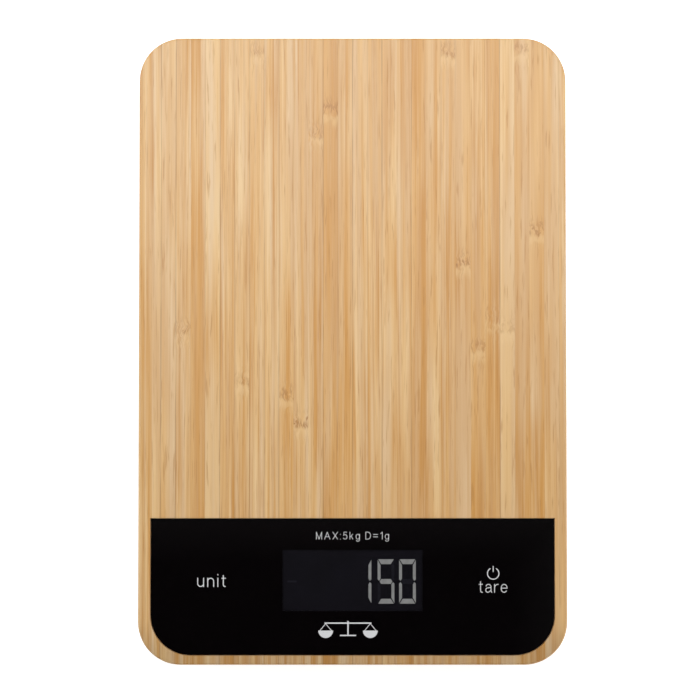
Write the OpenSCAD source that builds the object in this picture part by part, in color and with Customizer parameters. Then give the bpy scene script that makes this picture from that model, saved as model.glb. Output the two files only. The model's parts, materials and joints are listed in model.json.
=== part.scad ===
// Slim digital kitchen scale with a bamboo platform, in millimetres.
// The origin is on the table under the middle of the platform. +Z is up, and the display is at -Y.
// A load cell in each corner stands on its own foot, so the whole body sinks a little when it is loaded.

/* [Platform] */
// Width of the bamboo board, left to right
platform_w = 150; // [149:0.5:154]
// Length of the bamboo board, front to back
platform_l = 220; // [219:0.5:226]
// Thickness of the bamboo board
platform_t = 6; // [6:0.5:8]
// Radius of the board's four corners
platform_r = 15; // [13:1:16]
// Rounding along the board's top and bottom edges
platform_edge = 0.8; // [0.4:0.1:1]

/* [Display panel] */
// Width of the glossy panel
panel_w = 141.2; // [139:0.2:142]
// Length of the panel, front to back
panel_l = 47.6; // [46:0.2:49]
// Thickness of the panel's clear acrylic
panel_t = 1.6; // [1.4:0.1:1.8]
// Radius of the panel's two front corners
panel_r = 14; // [10:1:15]
// Bamboo left in front of the panel
panel_margin = 3.4; // [3:0.2:4]
// Distance from the board's front edge to the middle of the display
display_inset = 29.4; // [29:0.2:30]
// Width of the display that shows
window_w = 49; // [44:0.5:50]
// Length of the display that shows, front to back
window_l = 21.4; // [18:0.2:22]

/* [Base] */
// Gap between the table and the base's underside
stand_h = 3; // [2.5:0.5:4]
// Height of the base tray
base_h = 8; // [8:0.5:10]
// Step from the board's edge in to the base's wall
base_inset = 4; // [3:0.5:4]
// Thickness of the tray's floor and walls
base_wall = 1.8; // [1.7:0.1:2]
// Rounding along the base's bottom edge
base_edge = 2; // [1:0.5:2.5]

/* [Feet and load cells] */
// Distance of each foot from the middle, left or right
foot_x = 53; // [52.6:0.2:53.4]
// Distance of each foot from the middle, front or back
foot_y = 87; // [84:0.5:88]
// Radius of a foot cup
foot_r = 10.5; // [10:0.1:10.6]
// Radius of a rubber pad
pad_r = 8.7; // [8:0.1:9]
// Thickness of a rubber pad
pad_t = 1.8; // [1.5:0.1:2]
// Side of the square load cell
cell_side = 28; // [28:0.2:28.6]
// Thickness of the load cell's steel
cell_t = 1.2; // [1:0.1:1.3]

/* [Battery] */
// Distance of the coin cell behind the middle of the base
battery_y = 12; // [8:1:20]
// Radius of the coin cell
coin_r = 10; // [9.9:0.05:10.05]
// Thickness of the coin cell
coin_t = 3.2; // [3:0.1:3.2]
// Width of the battery door
door_w = 30; // [28:0.5:32]
// Thickness of the battery door
door_t = 1.4; // [1.2:0.1:1.5]

/* [Hidden] */
$fn = 72;
over = 1; // how far a cutting shape runs past the face it opens

// Heights of the main faces above the table
floor_top = stand_h + base_wall;
board_bottom = stand_h + base_h;
board_top = board_bottom + platform_t;
film_t = 0.15;
panel_bottom = board_top - panel_t;
print_bottom = panel_bottom - film_t;
recess_floor = print_bottom - film_t;

// Panel and display, seen from above
inlay_gap = 0.15;
panel_y = panel_margin + panel_l / 2 - platform_l / 2;
display_y = display_inset - platform_l / 2;
opening_w = 58;
opening_l = 31;
tape_w = 4.3;

// Display module, from the circuit board up
pcb_w = 71;
pcb_l = 40;
pcb_t = 1.6;
pcb_bottom = board_bottom - pcb_t;
glass_w = 54;
glass_l = 27;
glass_t = 1;
polarizer_t = 0.15;
rear_glass_l = 23.4;
glass_bottom = board_bottom + 2.8;
frame_w = opening_w - 0.6;
frame_l = opening_l - 0.6;
frame_top = recess_floor - 0.05;
locating_pin_r = 0.6;

// Screws. A pilot hole is 0.05 mm wider than its screw all round
pilot_gap = 0.05;
base_screw_r = 1.2;
base_screw_l = 8.5;
base_screw_head_r = 2.6;
base_screw_head_t = 1.8;
base_screw_seat = floor_top + 1.4;
base_boss_r = 4.2;
BASE_SCREWS = [
    for (x = [-1, 1], y = [-1, 1]) [x * 62, y * 48],
    [0, 92],
    [0, -50]
];
pcb_screw_r = 0.95;
pcb_screw_l = 4.4;
pcb_screw_head_r = 2.1;
pcb_screw_head_t = 1.2;
PCB_SCREWS = [for (x = [-33, 33], y = [-16.5, 16.5]) [x, display_y + y]];

// Base tray, seen from above
base_w = platform_w - 2 * base_inset;
base_l = platform_l - 2 * base_inset;
base_r = platform_r - base_inset;

// Load cell, its seat and its holder
cell_r = 5;
cell_bottom = floor_top + 1.6;
cell_top = cell_bottom + cell_t;
cell_window = 20;
cell_hole = 10.9;
cell_hole_r = 1;
beam_w = 7;
beam_pad_r = 4.5;
gauge_y = 7;
seat_gap = 0.2;
seat_wall = 1.4;
seat_side = cell_side + 2 * (seat_gap + seat_wall);
ledge_r = foot_r + 1.6;
relief_r = 11;
relief_t = 1.6;
channel_w = 5;

// Foot cup
foot_gap = 0.3;
cup_bottom = 1;
flange_r = foot_r + 1.2;
flange_bottom = floor_top + 0.1;
flange_t = 0.8;
pip_r = 2;
FEET = [["front_left", -1, -1], ["front_right", 1, -1], ["rear_left", -1, 1], ["rear_right", 1, 1]];

// Battery bay and door. The door turns about a barrel along its rear edge
door_gap = 0.25;
door_front = battery_y - 13;
door_top = stand_h + door_t;
hinge_y = battery_y + 14;
hinge_r = 1.2;
hinge_z = stand_h + hinge_r;
hinge_pin_r = 0.7;
hinge_pin_l = 1.6;
hinge_pin_gap = 0.05;
bay_face = door_top + 0.2;
coin_bottom = bay_face + 0.15;
coin_rim_t = 0.3;
well_r = coin_r + 0.4;
well_top = bay_face + 3.8;
bay_roof = well_top + 1.2;
bay_w = 35;
contact_t = 0.25;
contact_top = bay_roof + 0.6;
latch_w = 8;
latch_t = 0.8;
latch_l = 2.8;

// Wires
wire_r = 0.4;
wire_pitch = 1;
wire_z = pcb_bottom - 0.45; // height of a wire's end at the circuit board
solder_r = 1;
solder_pitch = 2.1;
FRONT_ROUTE = [[51.2, -94, 8.2], [44, -94, 8.3], [38, -94, 8.4], [33, -91, 8.7], [29, -91, wire_z]];
REAR_ROUTE = [
    [51.2, 94, 8.2], [44, 94, 8.3], [38, 94, 8.3], [34, 93, 7.2], [29, 88, 5.5], [25, 78, 5.5],
    [23, 60, 5.5], [23, 20, 5.5], [23, -20, 5.5], [23, -44, 5.6],
    [22, -57, 7], [21, -62.5, 8.7], [21, -66, wire_z]
];
NEGATIVE_ROUTE = [
    [0, 17.9, 10.1], [-1, 13, 10.2], [-6, 4, 10.2], [-7.6, -6, 10.2], [-8, -18, 9.2],
    [-8, -36, 8.4], [-7, -57, 8.5], [-6, -66, wire_z]
];
POSITIVE_ROUTE = [
    [10.1, 9.3, 10.1], [9.8, 4, 10.2], [8.4, -6, 10.2], [7.5, -18, 9.2],
    [7.5, -38, 8.4], [7, -57, 8.5], [6, -66, wire_z]
];

HOUSING_NODES = [
    "bamboo_platform", "front_panel", "printed_film", "touch_film", "panel_adhesive",
    "lcd_glass", "lcd_backlight", "lcd_frame", "zebra_connectors",
    "main_board", "controller_chip", "converter_chip", "board_resistors", "board_capacitors",
    "solder_joints", "board_screws", "base_cover", "base_screws",
    "battery_contact_positive", "battery_contact_negative", "battery_wires", "coin_cell"
];
CORNER_NODES = ["sensor_holder", "load_cell", "strain_gauge", "sensor_wires", "foot_cup", "foot_pad"];

// ---- Shapes that repeat ----

// A rectangle with four round corners, about the origin
module rounded_rect(w, l, r) {
    square([w, l - 2 * r], center = true);
    square([w - 2 * r, l], center = true);
    for (x = [-1, 1], y = [-1, 1])
        translate([x * (w / 2 - r), y * (l / 2 - r)]) circle(r);
}

// A rectangle with only its two front corners round, about the origin
module front_rounded_rect(w, l, r) {
    translate([-w / 2, r - l / 2]) square([w, l - r]);
    translate([r - w / 2, -l / 2]) square([w - 2 * r, r]);
    for (x = [-1, 1])
        translate([x * (w / 2 - r), r - l / 2]) circle(r);
}

// Half of a plate's section: x from 0 to reach, with its outer top and bottom edges rounded
module edge_section(reach, t, top, bottom) {
    translate([0, bottom]) square([reach, t - top - bottom]);
    square([reach - bottom, bottom + 0.01]);
    translate([reach - bottom, bottom]) circle(bottom);
    if (top > 0) {
        translate([0, t - top - 0.01]) square([reach - top, top + 0.01]);
        translate([reach - top, t - top]) circle(top);
    }
}

// The same section on both sides of x = 0
module full_section(reach, t, top, bottom) {
    edge_section(reach, t, top, bottom);
    mirror([1, 0]) edge_section(reach, t, top, bottom);
}

// A plate with round corners whose outer edges are rounded too
module edged_plate(w, l, t, r, top, bottom) {
    for (x = [-1, 1], y = [-1, 1])
        translate([x * (w / 2 - r), y * (l / 2 - r), 0])
            rotate_extrude() edge_section(r, t, top, bottom);
    translate([0, l / 2 - r, 0]) rotate([90, 0, 0])
        linear_extrude(l - 2 * r) full_section(w / 2, t, top, bottom);
    translate([r - w / 2, 0, 0]) rotate([90, 0, 90])
        linear_extrude(w - 2 * r) full_section(l / 2, t, top, bottom);
}

// A box given by its lowest corner and its highest one
module span(low, high) {
    translate(low) cube(high - low);
}

// Two crossed slots, the driver recess in a screw's head
module cross_recess(size, depth) {
    for (a = [0, 90])
        rotate(a) translate([0, 0, (depth - over) / 2])
            cube([size, size / 4, depth + over], center = true);
}

// A pan-head screw driven upwards, with the underside of its head at z = 0
module screw(r, length, head_r, head_t) {
    cylinder(r = r, h = length);
    difference() {
        union() {
            translate([0, 0, -head_t / 2]) cylinder(r = head_r, h = head_t / 2);
            translate([0, 0, -head_t]) cylinder(r1 = head_r * 0.8, r2 = head_r, h = head_t / 2);
        }
        translate([0, 0, -head_t]) cross_recess(head_r * 1.2, head_t * 0.6);
    }
}

// A point on the smooth curve between b and c, which also passes through a and d
function curve_point(a, b, c, d, t) =
    0.5 * (2 * b + (c - a) * t
        + (2 * a - 5 * b + 4 * c - d) * t * t
        + (3 * b - a - 3 * c + d) * t * t * t);

// A smooth curve through a route's points
function smooth(route, steps) = [
    for (i = [0:len(route) - 2], k = [0:steps - 1])
        let (before = route[max(i - 1, 0)], after = route[min(i + 2, len(route) - 1)])
            curve_point(before, route[i], route[i + 1], after, k / steps),
    route[len(route) - 1]
];

function unit(v) = v / norm(v);

// The direction of a path at its point i
function heading(path, i) = unit(path[min(i + 1, len(path) - 1)] - path[max(i - 1, 0)]);

// A route moved sideways, as seen from above: by shift, and by last_shift at its last point
function beside(route, shift, last_shift) = [
    for (i = [0:len(route) - 1])
        let (t = heading(route, i), across = unit([t.y, -t.x, 0]))
            route[i] + across * (i == len(route) - 1 ? last_shift : shift)
];

// A round wire along a route
module wire(route, r) {
    sides = 8;
    path = smooth(route, 4);
    count = len(path);
    tilt = [0.17, 0.31, 0.93]; // no stretch of a route runs this way, so it can steady every ring
    points = [
        for (i = [0:count - 1])
            let (t = heading(path, i), u = unit(cross(t, tilt)), v = cross(t, u))
                for (a = [0:360 / sides:359]) path[i] + r * (u * cos(a) + v * sin(a))
    ];
    walls = [
        for (i = [0:count - 2], k = [0:sides - 1])
            let (n = (k + 1) % sides)
                [i * sides + k, (i + 1) * sides + k, (i + 1) * sides + n, i * sides + n]
    ];
    first = [for (k = [0:sides - 1]) k];
    last = [for (k = [sides - 1:-1:0]) (count - 1) * sides + k];
    polyhedron(points, concat(walls, [first, last]));
}

// Puts a child made about the origin at a foot, with its +Y turned outwards and its -X inwards
module at_foot(foot) {
    translate([foot[1] * foot_x, foot[2] * foot_y, 0])
        mirror([foot[1] < 0 ? 1 : 0, 0, 0]) mirror([0, foot[2] < 0 ? 1 : 0, 0]) children();
}

// ---- Platform and panel ----

module bamboo_platform() color("burlywood") difference() {
    translate([0, 0, board_bottom])
        edged_plate(platform_w, platform_l, platform_t, platform_r, platform_edge, platform_edge);
    translate([0, panel_y, recess_floor]) linear_extrude(platform_t)
        front_rounded_rect(panel_w + 2 * inlay_gap, panel_l + 2 * inlay_gap, panel_r + inlay_gap);
    translate([0, display_y, board_bottom - over]) linear_extrude(platform_t + over)
        square([opening_w, opening_l], center = true);
    for (p = BASE_SCREWS)
        translate([p.x, p.y, base_screw_seat])
            cylinder(r = base_screw_r + pilot_gap, h = base_screw_l + 0.5);
    for (p = PCB_SCREWS)
        translate([p.x, p.y, pcb_bottom])
            cylinder(r = pcb_screw_r + pilot_gap, h = pcb_screw_l + 0.5);
}

// Clear acrylic, flush with the bamboo
module front_panel() color("black", 0.4)
    translate([0, panel_y, panel_bottom])
        linear_extrude(panel_t) front_rounded_rect(panel_w, panel_l, panel_r);

// Black printed film behind the acrylic, open over the display
module printed_film() color("black")
    translate([0, 0, print_bottom]) linear_extrude(film_t) difference() {
        translate([0, panel_y]) front_rounded_rect(panel_w, panel_l, panel_r);
        translate([0, display_y]) square([window_w, window_l], center = true);
    }

// Flexible circuit with the two touch electrodes, and its tail down to the circuit board
module touch_film() color("goldenrod") {
    translate([0, 0, recess_floor]) linear_extrude(film_t) difference() {
        translate([0, panel_y])
            square([panel_w - 2 * tape_w - 0.4, panel_l - 2 * tape_w - 0.4], center = true);
        translate([0, display_y]) square([window_w + 1, window_l + 1], center = true);
    }
    tail_y = display_y + (frame_l + opening_l) / 4;
    span([-5, tail_y - film_t / 2, board_bottom + 0.02], [5, tail_y + film_t / 2, recess_floor]);
}

// Frame of double-sided tape that holds the panel in its recess
module panel_adhesive() color("gainsboro")
    translate([0, panel_y, recess_floor]) linear_extrude(film_t) difference() {
        front_rounded_rect(panel_w, panel_l, panel_r);
        square([panel_w - 2 * tape_w, panel_l - 2 * tape_w], center = true);
    }

// ---- Display module and circuit board ----

// Two sheets of glass, the front one longer so that its edges reach the contacts, and a polarizer
module lcd_glass() color("darkslategray") translate([0, display_y, 0]) {
    glass_top = glass_bottom + glass_t;
    span([-glass_w / 2, -glass_l / 2, glass_bottom], [glass_w / 2, glass_l / 2, glass_top]);
    span([-glass_w / 2, -rear_glass_l / 2, glass_bottom - glass_t],
         [glass_w / 2, rear_glass_l / 2, glass_bottom]);
    span([-window_w / 2 - 1.2, -window_l / 2 - 0.5, glass_top],
         [window_w / 2 + 1.2, window_l / 2 + 0.5, glass_top + polarizer_t]);
}

// Light guide with the two lamps that stick out of its left end
module lcd_backlight() color("white") translate([0, display_y, board_bottom + 0.1]) {
    span([-24, -10.7, 0], [25, 10.7, glass_bottom - glass_t - board_bottom - 0.1]);
    for (y = [-5, 5])
        span([-25.5, y - 1.5, 0], [-24, y + 1.5, 1.2]);
}

// Plastic frame round the glass, with four pins that go through the circuit board
module lcd_frame() color("whitesmoke") translate([0, display_y, 0]) {
    translate([0, 0, board_bottom]) linear_extrude(frame_top - board_bottom) difference() {
        square([frame_w, frame_l], center = true);
        square([glass_w + 0.3, glass_l + 0.3], center = true);
    }
    translate([0, 0, glass_bottom + glass_t + 0.05])
        linear_extrude(frame_top - glass_bottom - glass_t - 0.05) difference() {
            square([frame_w, frame_l], center = true);
            square([window_w + 3, window_l + 1.6], center = true);
        }
    for (x = [-1, 1], y = [-1, 1])
        translate([x * 27.9, y * 14.4, pcb_bottom]) cylinder(r = locating_pin_r, h = pcb_t + over);
}

// Striped rubber strips that join the glass to the circuit board
module zebra_connectors() color("dimgray") for (y = [-1, 1])
    translate([0, display_y + y * 12.6, (board_bottom + glass_bottom) / 2])
        cube([glass_w - 6, 1.4, glass_bottom - board_bottom], center = true);

module main_board() color("darkgreen") difference() {
    translate([0, display_y, pcb_bottom]) linear_extrude(pcb_t) rounded_rect(pcb_w, pcb_l, 1.5);
    for (p = PCB_SCREWS)
        translate([p.x, p.y, pcb_bottom - over])
            cylinder(r = pcb_screw_r + 0.35, h = pcb_t + 2 * over);
    for (x = [-1, 1], y = [-1, 1])
        translate([x * 27.9, display_y + y * 14.4, pcb_bottom - over])
            cylinder(r = locating_pin_r + 0.1, h = pcb_t + 2 * over);
}

// Blob of black resin over the bare controller
module controller_chip() color("black") {
    blob_r = 6;
    blob_t = 1.2;
    ball_r = (blob_r * blob_r + blob_t * blob_t) / (2 * blob_t);
    translate([-14, display_y, 0]) intersection() {
        translate([0, 0, pcb_bottom + ball_r - blob_t]) sphere(ball_r, $fn = 128);
        translate([0, 0, pcb_bottom - blob_t]) cylinder(r = blob_r + over, h = blob_t);
    }
}

// Packaged converter that reads the load cells, with eight leads on each side
module converter_chip() color("dimgray") translate([12, display_y, 0]) {
    span([-5, -2, pcb_bottom - 1.6], [5, 2, pcb_bottom - 0.1]);
    for (i = [0:7], side = [-1, 1]) {
        x = (i - 3.5) * 1.27;
        translate([x, 0, pcb_bottom]) mirror([0, side > 0 ? 0 : 1, 0]) {
            span([-0.2, 2, -0.9], [0.2, 2.5, -0.7]);
            span([-0.2, 2.3, -0.9], [0.2, 2.5, 0]);
            span([-0.2, 2.3, -0.2], [0.2, 3.2, 0]);
        }
    }
}

module board_resistors() color("black") for (i = [0:4], row = [-8, 8])
    translate([6 + i * 3, display_y + row, pcb_bottom - 0.23]) cube([0.8, 1.6, 0.46], center = true);

module board_capacitors() color("tan") for (i = [0:4])
    translate([-24 + i * 5, display_y + (i % 2 == 0 ? 10 : -10), pcb_bottom - 0.45])
        cube([2, 1.25, 0.9], center = true);

// A dome of solder under the circuit board
module solder_dome(x, y) translate([x, y, pcb_bottom]) intersection() {
    sphere(solder_r);
    translate([0, 0, -solder_r / 2]) cube([3, 3, solder_r], center = true);
}

// One dome past each wire's end, in line with the wire
module solder_joints() color("silver") {
    reach = solder_r + 0.1;
    for (side = [-1, 1], k = [-1, 0, 1]) {
        solder_dome(side * (29 - reach), -91 + k * solder_pitch);
        solder_dome(side * (21 + k * solder_pitch), -66 - reach);
    }
    for (side = [-1, 1]) solder_dome(side * 6, -66 - reach);
}

module board_screws() color("silver") for (p = PCB_SCREWS)
    translate([p.x, p.y, pcb_bottom]) screw(pcb_screw_r, pcb_screw_l, pcb_screw_head_r, pcb_screw_head_t);

// ---- Base ----

// Tray wall and floor, with the posts and walls that stand on the floor
module base_solid() {
    difference() {
        translate([0, 0, stand_h]) edged_plate(base_w, base_l, base_h, base_r, 0, base_edge);
        translate([0, 0, floor_top]) linear_extrude(base_h)
            rounded_rect(base_w - 2 * base_wall, base_l - 2 * base_wall, base_r - base_wall);
    }
    for (p = BASE_SCREWS)
        translate([p.x, p.y, floor_top - over])
            cylinder(r = base_boss_r, h = board_bottom - floor_top + over);
    for (foot = FEET) at_foot(foot)
        translate([0, 0, floor_top - over / 2]) linear_extrude(board_bottom - floor_top + over / 2 - 0.4)
            rounded_rect(seat_side, seat_side, cell_r + seat_gap + seat_wall);
    span([-bay_w / 2, door_front - 2.5, floor_top - over], [bay_w / 2, hinge_y + 3.6, bay_roof]);
    floor_ribs();
    wire_guides();
}

// Low ribs that stiffen the floor, from just outside the wires to the walls
module floor_ribs() {
    rib_t = 1.2;
    rib_h = 1.5;
    first_x = 28;
    last_x = base_w / 2 - base_wall / 2;
    for (side = [-1, 1]) {
        for (y = [-60, -20, 20, 60])
            translate([side * (first_x + last_x) / 2, y, floor_top])
                cube([last_x - first_x, rib_t, 2 * rib_h], center = true);
        translate([side * 40, 0, floor_top])
            cube([rib_t, 2 * foot_y - seat_side + 0.2, 2 * rib_h], center = true);
    }
}

// Pairs of posts that the rear load cells' wires run between
module wire_guides() {
    for (side = [-1, 1], y = [-30, 10, 50], x = [20.4, 25.6])
        translate([side * x, y, floor_top + 0.9]) cube([1, 3, 2.8], center = true);
}

// What one foot and its load cell take out of the base
module foot_cut() {
    translate([0, 0, stand_h - over]) cylinder(r = foot_r + foot_gap, h = base_wall + 2 * over);
    translate([0, 0, stand_h - over]) cylinder(r = foot_r + 2, h = 0.6 + over);
    translate([0, 0, floor_top]) cylinder(r = ledge_r, h = cell_bottom - floor_top + over);
    translate([0, 0, cell_bottom]) linear_extrude(base_h)
        rounded_rect(cell_side + 2 * seat_gap, cell_side + 2 * seat_gap, cell_r + seat_gap);
    translate([-cell_side / 2 - seat_wall - over, gauge_y - channel_w / 2, cell_top])
        cube([2 * seat_wall + over, channel_w, base_h]);
}

// Recess for the door, well for the coin cell, hinge seats, latch pocket and contact slots
module battery_cut() {
    recess_x = door_w / 2 + door_gap;
    span([-recess_x, door_front - door_gap, stand_h - over], [recess_x, hinge_y, bay_face]);
    span([-recess_x, hinge_y - over, stand_h - over], [recess_x, hinge_y + hinge_r + 0.2, hinge_z]);
    translate([0, hinge_y, hinge_z]) rotate([0, 90, 0]) {
        cylinder(r = hinge_r + 0.2, h = 2 * recess_x, center = true);
        cylinder(r = hinge_pin_r + hinge_pin_gap, h = door_w + 2 * hinge_pin_l + 0.8, center = true);
    }
    translate([0, battery_y, bay_face - over]) cylinder(r = well_r, h = well_top - bay_face + over);
    span([-latch_w / 2 - 1, door_front - 1.6, stand_h - over],
         [latch_w / 2 + 1, door_front + 2.3, bay_face + 3.4]);
    span([-1.5, battery_y + 5.9, well_top - over], [1.5, battery_y + 6.6, bay_roof + over]);
    span([coin_r - 1, battery_y - 2.8, bay_face - over], [coin_r + 0.9, battery_y + 2.8, bay_roof + over]);
    translate([0, door_front - 5, stand_h - 7]) rotate([0, 90, 0]) cylinder(r = 8, h = 12, center = true);
}

module base_cover() color([0.13, 0.13, 0.14]) difference() {
    base_solid();
    for (foot = FEET) at_foot(foot) foot_cut();
    for (p = BASE_SCREWS) {
        translate([p.x, p.y, stand_h - over])
            cylinder(r = base_screw_head_r + 0.3, h = base_screw_seat - stand_h + over);
        translate([p.x, p.y, stand_h]) cylinder(r = base_screw_r + 0.25, h = base_h + over);
    }
    battery_cut();
}

module base_screws() color("silver") for (p = BASE_SCREWS)
    translate([p.x, p.y, base_screw_seat])
        screw(base_screw_r, base_screw_l, base_screw_head_r, base_screw_head_t);

// ---- Battery ----

module coin_cell() color("lightgray") translate([0, battery_y, coin_bottom]) {
    cylinder(r1 = coin_r - 0.3, r2 = coin_r, h = 0.3);
    translate([0, 0, 0.3]) cylinder(r = coin_r, h = coin_t - 0.3 - coin_rim_t);
    translate([0, 0, coin_t - coin_rim_t]) cylinder(r = coin_r - 1.7, h = coin_rim_t);
}

// Strip beside the cell's rim
module battery_contact_positive() color("gold")
    translate([coin_r + 0.05, battery_y, 0])
        span([0, -2.5, bay_face + 0.3], [contact_t, 2.5, contact_top]);

// Plate against the well's roof, with a bump on the cell's cap and a tab up through the slot
module battery_contact_negative() color("gold") {
    span([-2.5, battery_y - 4, well_top - contact_t], [2.5, battery_y + 5, well_top]);
    span([-1.3, battery_y + 5, well_top - contact_t], [1.3, battery_y + 6.4, well_top]);
    span([-1.3, battery_y + 6.4 - contact_t, well_top - contact_t], [1.3, battery_y + 6.4, contact_top]);
    translate([0, battery_y, coin_bottom + coin_t]) cylinder(r = 1, h = well_top - coin_bottom - coin_t);
}

module battery_wires() color("firebrick") {
    wire(NEGATIVE_ROUTE, wire_r);
    wire(POSITIVE_ROUTE, wire_r);
}

// Spring finger, folded over on itself, that a fingernail pulls to open the door
module door_latch() {
    side = latch_w / 2;
    outer_y = door_front - 0.8;
    inner_y = door_front + 1.2;
    high = door_top + latch_l;
    span([-side, outer_y, stand_h + 0.4], [side, outer_y + latch_t, high]);
    span([-side, inner_y, door_top - 0.2], [side, inner_y + latch_t, high]);
    span([-side, outer_y, high - latch_t], [side, inner_y + latch_t, high]);
}

module battery_door() color([0.15, 0.15, 0.16]) {
    door_l = hinge_y - door_front;
    difference() {
        translate([0, hinge_y - door_l / 2, stand_h])
            linear_extrude(door_t) front_rounded_rect(door_w, door_l, 1.5);
        for (i = [0:3])
            translate([0, door_front + 3.5 + i * 1.8, stand_h]) cube([12 - i * 2, 0.8, 0.8], center = true);
        span([-latch_w / 2 - 0.4, door_front - over, stand_h - over],
             [latch_w / 2 + 0.4, door_front + 0.9, door_top + over]);
    }
    translate([0, hinge_y, hinge_z]) rotate([0, 90, 0]) {
        cylinder(r = hinge_r, h = door_w, center = true);
        cylinder(r = hinge_pin_r, h = door_w + 2 * hinge_pin_l, center = true);
    }
    translate([0, battery_y, door_top - 0.2]) difference() {
        cylinder(r = 7, h = coin_bottom - door_top + 0.15);
        translate([0, 0, -over]) cylinder(r = 6, h = 3 * over);
    }
    door_latch();
}

// ---- Load cells and feet, each made about its own foot ----

// Block between the load cell's rim and the bamboo, hollow over the beam
module sensor_holder() color("ivory") {
    difference() {
        translate([0, 0, cell_top])
            linear_extrude(board_bottom - cell_top) rounded_rect(cell_side, cell_side, cell_r);
        translate([0, 0, cell_top - over]) cylinder(r = relief_r, h = relief_t + over);
        span([-cell_side / 2 - over, gauge_y - channel_w / 2, cell_top - over],
             [0, gauge_y + channel_w / 2, cell_top + relief_t]);
    }
    for (x = [-1, 1], y = [-1, 1])
        translate([x * cell_hole, y * cell_hole, cell_bottom + 0.1])
            cylinder(r = cell_hole_r - 0.1, h = cell_top - cell_bottom + over);
}

// Steel plate, cut out round a beam that reaches from the outer side of the rim to the middle
module load_cell() color("silver") translate([0, 0, cell_bottom]) linear_extrude(cell_t) {
    difference() {
        rounded_rect(cell_side, cell_side, cell_r);
        rounded_rect(cell_window, cell_window, 3);
        for (x = [-1, 1], y = [-1, 1])
            translate([x * cell_hole, y * cell_hole]) circle(cell_hole_r);
    }
    circle(beam_pad_r);
    translate([-beam_w / 2, 0]) square([beam_w, cell_window / 2 + 0.5]);
}

// Foil gauge on the beam, under its dab of sealant
module strain_gauge() color("white") translate([0, gauge_y, cell_top]) {
    linear_extrude(0.15) square([4.4, 5], center = true);
    translate([0, 0, 0.15]) linear_extrude(0.35) rounded_rect(3.4, 4, 0.8);
}

// Three wires side by side from the gauge, which spread to their solder joints
module sensor_wires(foot) color("crimson") mirror([foot[1] < 0 ? 1 : 0, 0, 0])
    for (k = [-1, 0, 1])
        wire(beside(foot[2] < 0 ? FRONT_ROUTE : REAR_ROUTE, k * wire_pitch, k * solder_pitch), wire_r);

// Cup that carries the pad, with a flange that keeps it in the base and a pip under the beam
module foot_cup() color([0.12, 0.12, 0.13]) difference() {
    union() {
        translate([0, 0, cup_bottom]) cylinder(r1 = foot_r - 0.6, r2 = foot_r, h = 0.6);
        translate([0, 0, cup_bottom + 0.6]) cylinder(r = foot_r, h = flange_bottom - cup_bottom - 0.6);
        translate([0, 0, flange_bottom]) cylinder(r = flange_r, h = flange_t);
        translate([0, 0, flange_bottom]) cylinder(r = pip_r, h = cell_bottom - flange_bottom);
    }
    translate([0, 0, cup_bottom - over]) cylinder(r = pad_r + 0.15, h = pad_t - cup_bottom + over);
    difference() {
        translate([0, 0, pad_t + 1]) cylinder(r = foot_r - 1.3, h = cell_bottom);
        cylinder(r = pip_r + 1.2, h = 2 * cell_bottom);
        for (a = [0, 90])
            rotate(a) cube([2 * foot_r, 1.2, 3 * cell_bottom], center = true);
    }
}

module foot_pad() color("gray") {
    cylinder(r1 = pad_r - 0.4, r2 = pad_r, h = 0.4);
    translate([0, 0, 0.4]) cylinder(r = pad_r, h = pad_t - 0.4);
}

// ---- Nodes ----

bamboo_platform();
front_panel();
printed_film();
touch_film();
panel_adhesive();
lcd_glass();
lcd_backlight();
lcd_frame();
zebra_connectors();
main_board();
controller_chip();
converter_chip();
board_resistors();
board_capacitors();
solder_joints();
board_screws();
base_cover();
base_screws();
battery_contact_positive();
battery_contact_negative();
battery_wires();
coin_cell();
battery_door();
for (foot = FEET) {
    at_foot(foot) sensor_holder();
    at_foot(foot) load_cell();
    at_foot(foot) strain_gauge();
    sensor_wires(foot);
    at_foot(foot) foot_cup();
    at_foot(foot) foot_pad();
}
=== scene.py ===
"""A slim kitchen scale: bamboo platform, flush glossy display panel and dark moulded base.

Lengths are in metres, except inside the materials, which work in millimetres, and where a name ends in _mm.
"""

import json
import math
import random

import bmesh
import bpy
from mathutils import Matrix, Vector


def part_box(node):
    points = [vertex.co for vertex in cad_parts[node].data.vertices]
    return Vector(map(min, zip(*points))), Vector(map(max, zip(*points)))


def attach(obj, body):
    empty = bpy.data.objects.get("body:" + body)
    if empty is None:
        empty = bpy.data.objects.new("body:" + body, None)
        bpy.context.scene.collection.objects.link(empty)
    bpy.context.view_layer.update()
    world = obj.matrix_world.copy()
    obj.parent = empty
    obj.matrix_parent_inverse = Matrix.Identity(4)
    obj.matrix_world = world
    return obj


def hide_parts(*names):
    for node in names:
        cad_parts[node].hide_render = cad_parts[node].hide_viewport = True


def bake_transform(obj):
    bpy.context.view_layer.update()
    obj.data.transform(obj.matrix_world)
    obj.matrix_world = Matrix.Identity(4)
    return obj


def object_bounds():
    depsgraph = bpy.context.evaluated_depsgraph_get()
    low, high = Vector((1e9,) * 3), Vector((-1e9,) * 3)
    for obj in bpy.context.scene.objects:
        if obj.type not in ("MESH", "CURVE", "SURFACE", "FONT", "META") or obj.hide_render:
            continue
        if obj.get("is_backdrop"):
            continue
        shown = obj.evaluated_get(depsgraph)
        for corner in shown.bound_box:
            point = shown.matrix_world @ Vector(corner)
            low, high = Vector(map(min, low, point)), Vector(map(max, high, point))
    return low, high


MM = 0.001
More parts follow.
